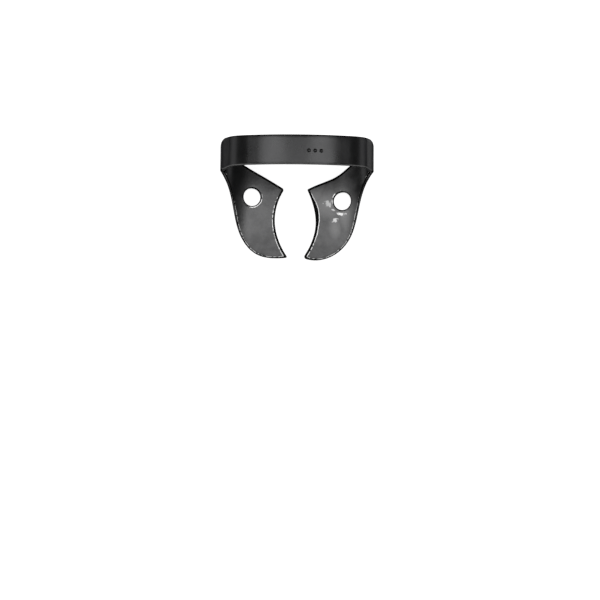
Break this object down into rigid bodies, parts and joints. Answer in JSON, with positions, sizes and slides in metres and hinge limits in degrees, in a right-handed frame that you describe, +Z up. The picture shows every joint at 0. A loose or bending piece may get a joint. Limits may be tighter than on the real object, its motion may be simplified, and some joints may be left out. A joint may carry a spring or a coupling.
{
  "type": "rubber dam clamp",
  "caption": "Dental clamp stamped and bent from spring sheet: a bow joins two jaws that grip a tooth and hold a rubber dam below them.",
  "frame": {"origin": "middle of the gripped tooth, level with the prong points", "axes": "+X across the tooth towards the bevelled jaw, +Y back towards the bow, +Z up from the prongs to the bow"},
  "size_m": [0.0258, 0.0196, 0.0169],
  "materials": {
    "clamp": "satin, darkened spring steel"
  },
  "bodies": {
    "root": {"clamp": "clamp"}
  },
  "joints": []
}
